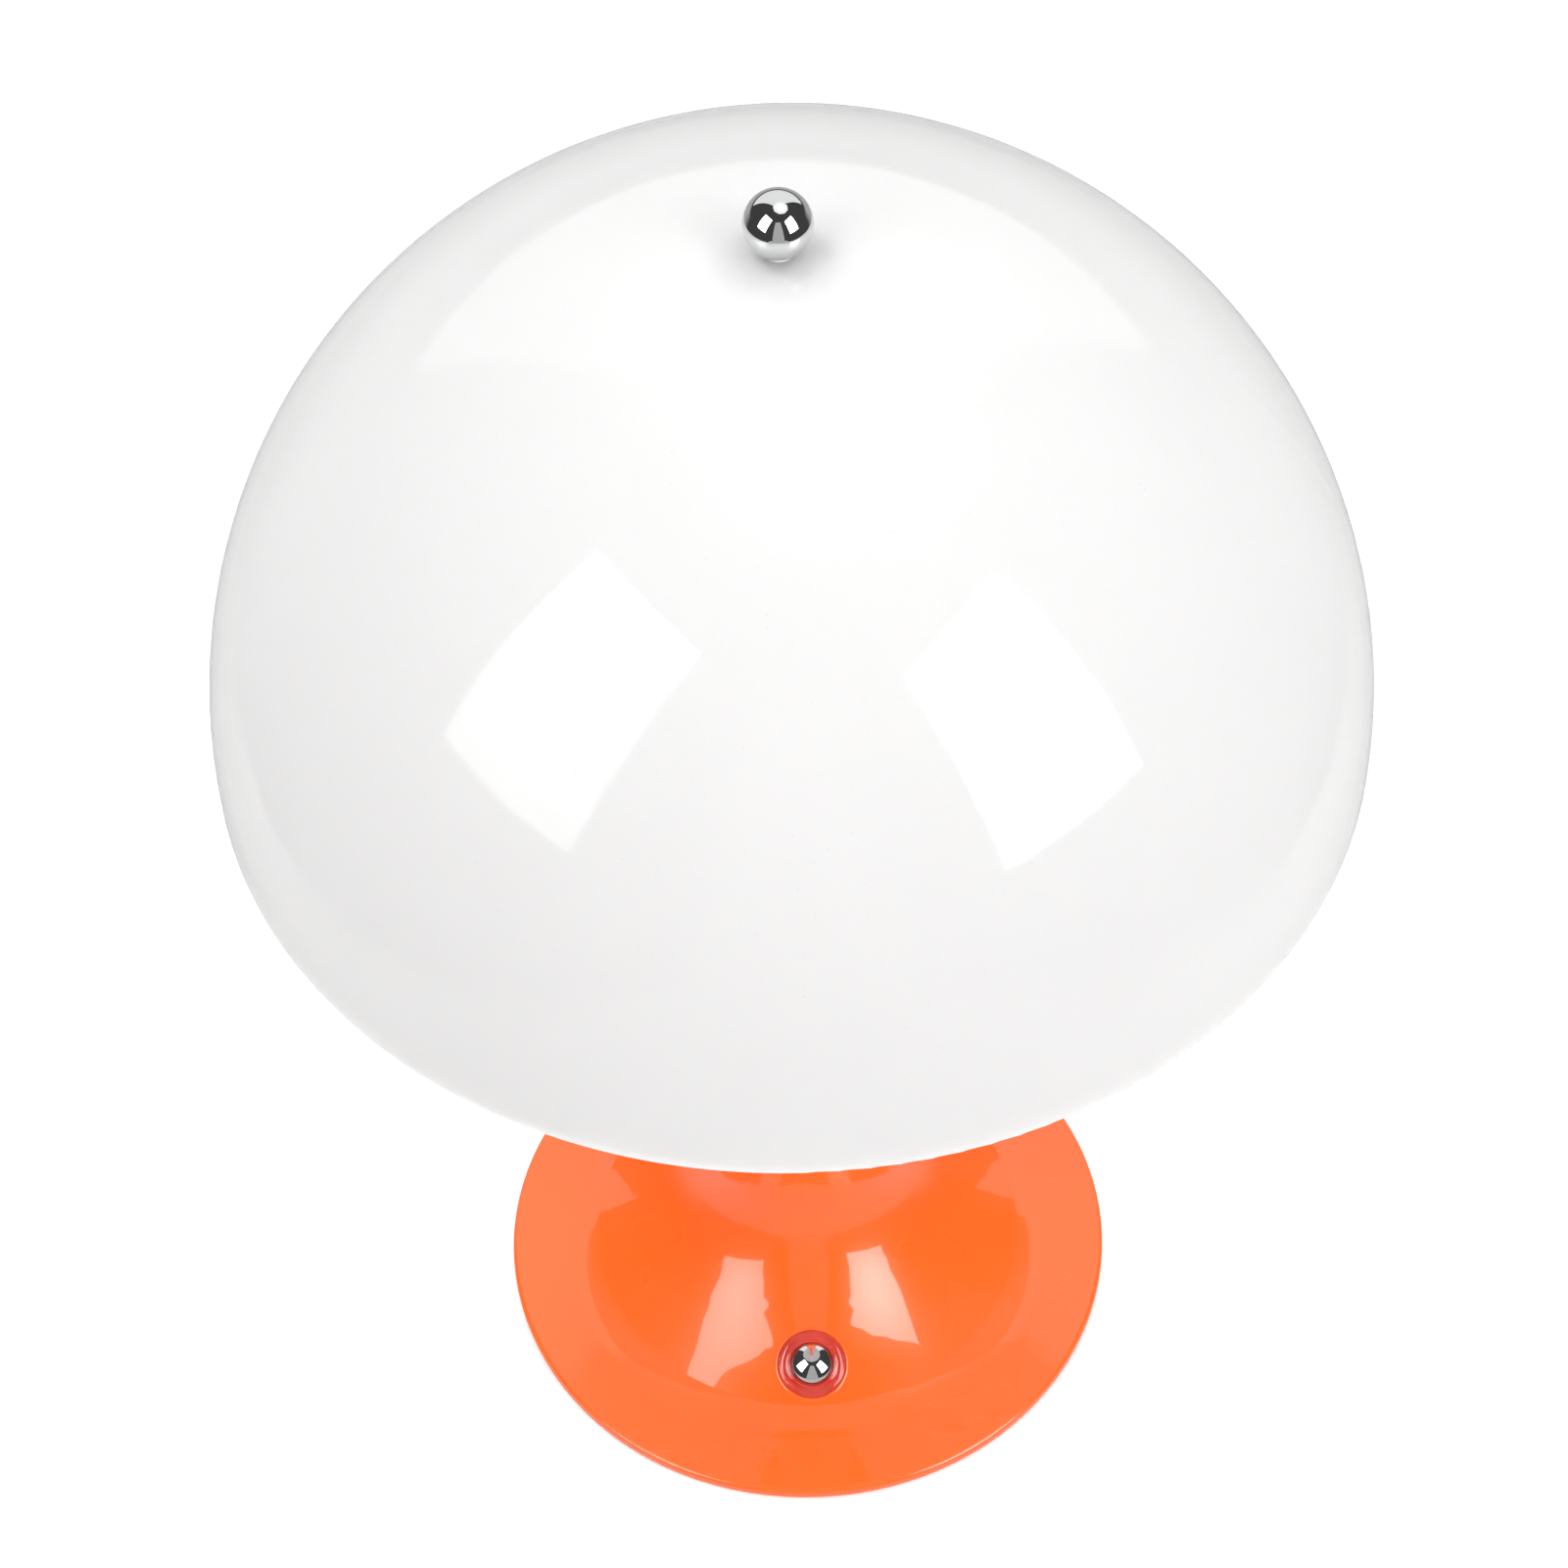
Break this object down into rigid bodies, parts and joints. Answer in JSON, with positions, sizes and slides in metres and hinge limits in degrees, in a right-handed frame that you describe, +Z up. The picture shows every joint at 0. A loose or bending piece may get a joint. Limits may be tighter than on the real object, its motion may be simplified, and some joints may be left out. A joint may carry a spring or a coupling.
{
  "type": "mushroom table lamp",
  "caption": "Rechargeable mushroom table lamp: opal half-sphere shade under a chrome ball finial, painted trumpet base with a ball push button in a translucent ring.",
  "frame": {"origin": "where the lamp's axis meets the table, at the bottom centre", "axes": "+Z up along the lamp's axis, the button faces -Y and the charging inlet faces +Y"},
  "size_m": [0.2, 0.2, 0.2869],
  "materials": {
    "orange_paint": "glossy orange paint",
    "opal_shade": "glossy opal white acrylic",
    "opal_diffuser": "satin opal plastic",
    "chrome": "mirror",
    "white_nylon": "smooth white nylon",
    "coral_plastic": "translucent coral red",
    "foot_rubber": "matte",
    "black_plastic": "fine moulded grain",
    "grey_plastic": "moulded",
    "raw_iron": "as cast",
    "zinc_screws": "zinc plated",
    "plated_steel": "bright plated",
    "clear_silicone": "translucent silicone",
    "cell_wrap": "blue shrink sleeve over a metal can",
    "green_board": "solder resist",
    "white_board": "white solder resist on aluminium",
    "black_component": "moulded",
    "inlet_steel": "plated",
    "led_phosphor": "phosphor",
    "lead_insulation": "insulation"
  },
  "bodies": {
    "lamp": {"lamp_body": "orange_paint", "light_tray": "orange_paint", "shade": "opal_shade", "light_diffuser": "opal_diffuser", "button_bush": "coral_plastic", "foot_ring": "foot_rubber", "bottom_cover": "black_plastic", "inlet_scoop": "black_plastic", "battery_frame": "grey_plastic", "battery_cap": "grey_plastic", "switch_wedge": "grey_plastic", "bush_nut": "grey_plastic", "counterweight": "raw_iron", "cover_screws": "zinc_screws", "weight_screws": "zinc_screws", "frame_screws": "zinc_screws", "board_screws": "zinc_screws", "led_board_screws": "zinc_screws", "tray_grub_screws": "zinc_screws", "centre_rod": "plated_steel", "diffuser_washer": "plated_steel", "diffuser_nut": "plated_steel", "seat_nut": "plated_steel", "seat_plate": "plated_steel", "seat_gasket": "clear_silicone", "battery_cell": "cell_wrap", "control_board": "green_board", "switch_board": "green_board", "led_board": "white_board", "control_chips": "black_component", "tact_switch": "black_component", "charging_inlet": "inlet_steel", "led_chips": "led_phosphor", "ring_lights": "led_phosphor", "led_leads": "lead_insulation"},
    "push_button": {"button_ball": "chrome", "button_plunger": "grey_plastic", "switch_stem": "black_component"},
    "washer": {"finial_washer": "white_nylon"},
    "finial": {"finial_ball": "chrome"}
  },
  "joints": [
    {"name": "button_press", "type": "slide", "parent": "lamp", "child": "push_button", "axis": [0, 0.4825, -0.8759], "range_m": [0, 0.0005], "stiffness_N_per_m": 1500, "springref_m": -0.0005},
    {"name": "washer_rise", "type": "slide", "parent": "lamp", "child": "washer", "axis": [0, 0, 1], "range_m": [0, 0.007]},
    {"name": "finial_turn", "type": "hinge", "parent": "washer", "child": "finial", "pos_m": [0, 0, 0.28145], "axis": [0, 0, 1], "range_deg": [0, 3600]}
  ],
  "couplings": [
    {"joint": "finial_turn", "follows": "washer_rise", "rad_per_m": 8976}
  ]
}
